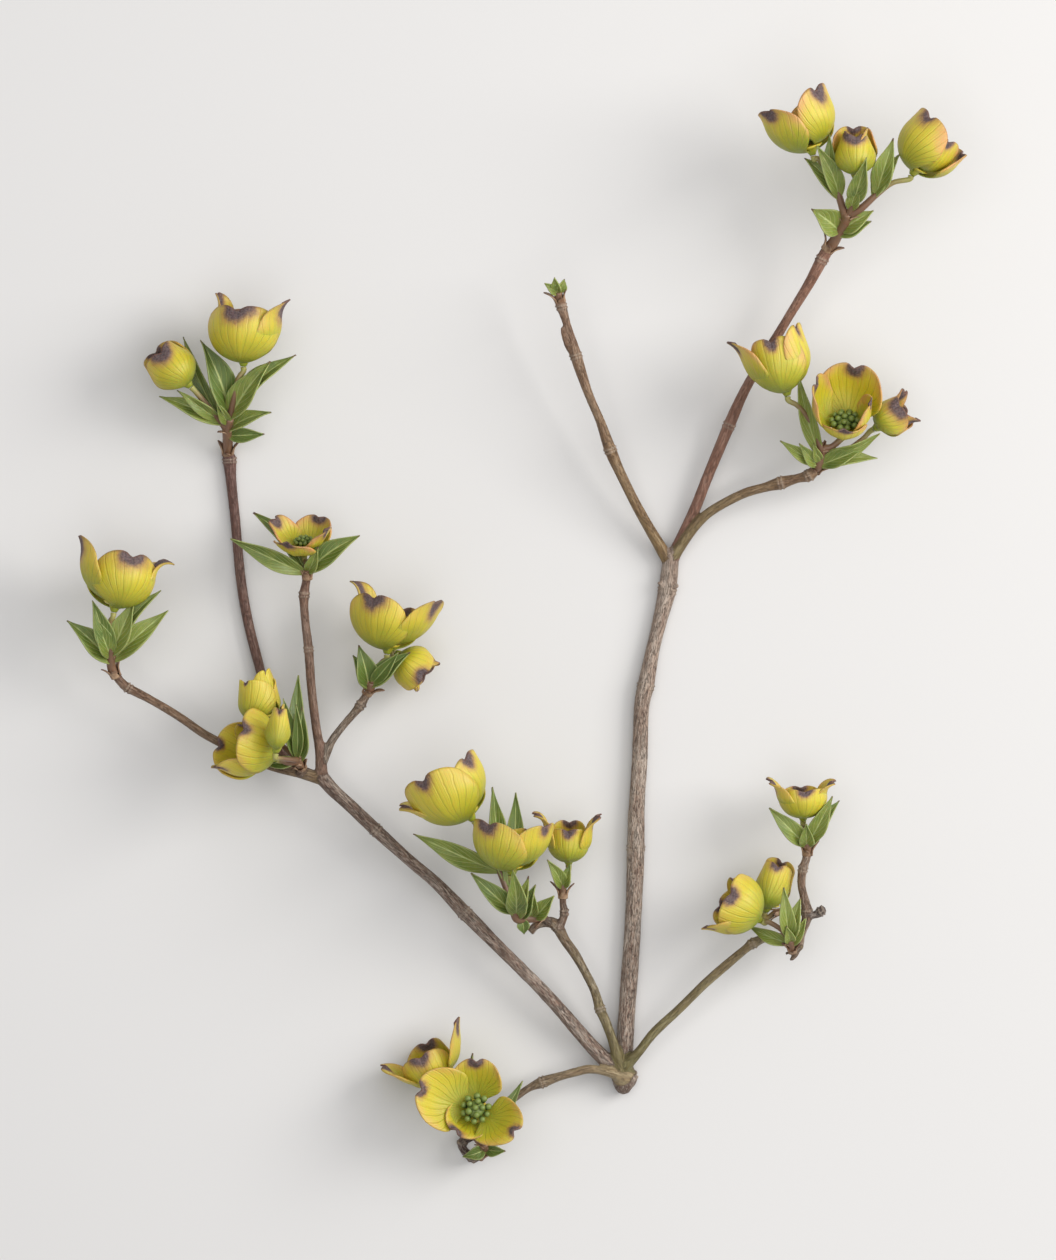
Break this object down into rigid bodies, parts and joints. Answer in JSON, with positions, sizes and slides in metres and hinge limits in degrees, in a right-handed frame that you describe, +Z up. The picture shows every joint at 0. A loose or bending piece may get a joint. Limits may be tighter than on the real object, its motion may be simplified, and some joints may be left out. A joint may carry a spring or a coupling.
{
  "type": "flowering dogwood branch",
  "caption": "Cut flowering dogwood branch lying down: forked twiggy wood, leafy shoots and yellow-green cupped blooms.",
  "frame": {"origin": "small flat spot under the cut heel of the branch, on the surface that it lies on", "axes": "+Z up from the surface; +Y along the main stem from its cut heel towards the tips; +X to the right seen from above"},
  "size_m": [0.3118, 0.3748, 0.0514],
  "materials": {
    "bark": "matte",
    "young_shoot": "satin",
    "bract": "satin",
    "flower_button": "matte"
  },
  "bodies": {
    "root": {"bloom_a1_bracts": "bract", "bloom_a1_head": "flower_button", "bloom_a2_bracts": "bract", "bloom_a2_head": "flower_button", "bloom_b1_bracts": "bract", "bloom_b1_head": "flower_button", "bloom_c1_bracts": "bract", "bloom_c1_head": "flower_button", "bloom_c2_bracts": "bract", "bloom_c2_head": "flower_button", "bloom_c3_bracts": "bract", "bloom_d1_bracts": "bract", "bloom_d1_head": "flower_button", "bloom_e1_bracts": "bract", "bloom_e1_head": "flower_button", "bloom_e2_bracts": "bract", "bloom_f1_bracts": "bract", "bloom_f1_head": "flower_button", "bloom_f2_bracts": "bract", "bloom_f2_head": "flower_button", "bloom_f3_bracts": "bract", "bloom_f3_head": "flower_button", "bloom_g1_bracts": "bract", "bloom_g1_head": "flower_button", "bloom_g2_bracts": "bract", "bloom_g2_head": "flower_button", "bloom_h1_bracts": "bract", "bloom_h1_head": "flower_button", "bloom_h2_bracts": "bract", "bloom_h2_head": "flower_button", "bloom_h3_bracts": "bract", "bloom_h3_head": "flower_button", "bloom_i1_bracts": "bract", "bloom_i1_head": "flower_button", "bloom_i2_bracts": "bract", "bloom_i2_head": "flower_button", "bloom_i3_bracts": "bract", "bloom_i3_head": "flower_button", "bloom_j1_bracts": "bract", "bloom_j1_head": "flower_button", "bloom_j2_bracts": "bract", "bloom_j2_head": "flower_button", "bloom_j3_bracts": "bract", "branch_wood": "bark", "shoot_a": "young_shoot", "shoot_b": "young_shoot", "shoot_c": "young_shoot", "shoot_d": "young_shoot", "shoot_e": "young_shoot", "shoot_f": "young_shoot", "shoot_f3": "young_shoot", "shoot_g": "young_shoot", "shoot_h1": "young_shoot", "shoot_h2": "young_shoot", "shoot_h3": "young_shoot", "shoot_i": "young_shoot", "shoot_j": "young_shoot", "shoot_k": "young_shoot"}
  },
  "joints": []
}
